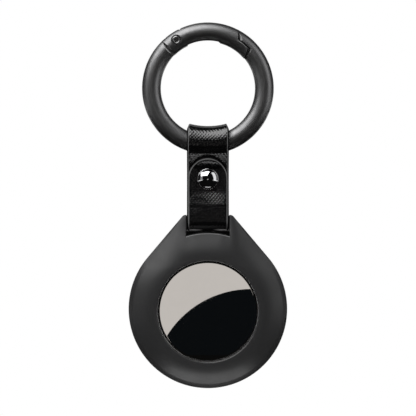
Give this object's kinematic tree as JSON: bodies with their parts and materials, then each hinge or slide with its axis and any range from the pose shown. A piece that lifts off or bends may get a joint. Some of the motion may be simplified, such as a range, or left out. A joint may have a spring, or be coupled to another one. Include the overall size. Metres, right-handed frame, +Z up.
{
  "type": "tracker tag holder",
  "caption": "Key-ring holder for a coin-shaped tracker: a round two-part case with a window, a riveted leather strap and a ring with a spring gate.",
  "frame": {"origin": "centre of the ring, in the middle plane of its bar", "axes": "+Z up as it hangs, +X to the right seen from the front, and the window faces -Y"},
  "size_m": [0.042, 0.0108, 0.097],
  "materials": {
    "ring_metal": "satin gunmetal plating",
    "rivet_metal": "satin gunmetal plating, bright where the head is struck",
    "spring_steel": "drawn wire",
    "leather": "black pebbled leather with painted edges",
    "black_nickel": "glossy black nickel",
    "case_plastic": "satin dark grey",
    "white_plastic": "glossy white",
    "polished_steel": "polished stainless steel, bare",
    "seal_rubber": "matt",
    "board": "solder mask",
    "contact_metal": "gold flash",
    "magnet_metal": "nickel plate",
    "cell_steel": "nickel-plated steel"
  },
  "bodies": {
    "ring": {"ring_body": "ring_metal", "gate_pivot_rivet": "rivet_metal"},
    "gate": {"ring_gate": "ring_metal", "gate_spring": "spring_steel"},
    "plunger": {"gate_plunger": "spring_steel"},
    "strap": {"strap": "leather", "rivet_cap": "black_nickel", "rivet_post": "black_nickel"},
    "case": {"case_base": "case_plastic"},
    "front": {"case_front": "case_plastic"},
    "tag": {"tag_housing": "white_plastic", "cover_seal": "seal_rubber", "tag_tray": "white_plastic", "circuit_board": "board", "antenna_ring": "contact_metal", "speaker_magnet": "magnet_metal", "voice_coil": "contact_metal", "battery_contacts": "contact_metal", "battery_can": "cell_steel", "battery_lid": "cell_steel", "battery_gasket": "seal_rubber"},
    "cover": {"battery_cover": "polished_steel"}
  },
  "joints": [
    {"name": "gate_swing", "type": "hinge", "parent": "ring", "child": "gate", "pos_m": [-0.00837, 0, 0.01269], "axis": [0, 1, 0], "range_deg": [0, 35], "stiffness_Nm_per_rad": 0.06, "springref_deg": -28.65},
    {"name": "plunger_slide", "type": "slide", "parent": "gate", "child": "plunger", "axis": [0.9893, 0, 0.1461], "range_m": [0, 0.00046], "deforming": ["gate_spring"]},
    {"name": "strap_swing", "type": "hinge", "parent": "ring", "child": "strap", "pos_m": [0, 0, -0.01447], "axis": [1, 0, 0], "range_deg": [-120, 120]},
    {"name": "case_swing", "type": "hinge", "parent": "strap", "child": "case", "pos_m": [0, 0, -0.03512], "axis": [1, 0, 0], "range_deg": [-80, 80]},
    {"name": "front_slide", "type": "slide", "parent": "case", "child": "front", "axis": [0, -1, 0], "range_m": [0, 0.014]},
    {"name": "tag_turn", "type": "hinge", "parent": "front", "child": "tag", "pos_m": [0, 0, -0.05902], "axis": [0, -1, 0], "continuous": true},
    {"name": "cover_twist", "type": "hinge", "parent": "tag", "child": "cover", "pos_m": [0, 0, -0.05902], "axis": [0, -1, 0], "range_deg": [0, 20]}
  ],
  "couplings": [
    {"joint": "plunger_slide", "follows": "gate_swing", "m_per_rad": 0.000737}
  ]
}
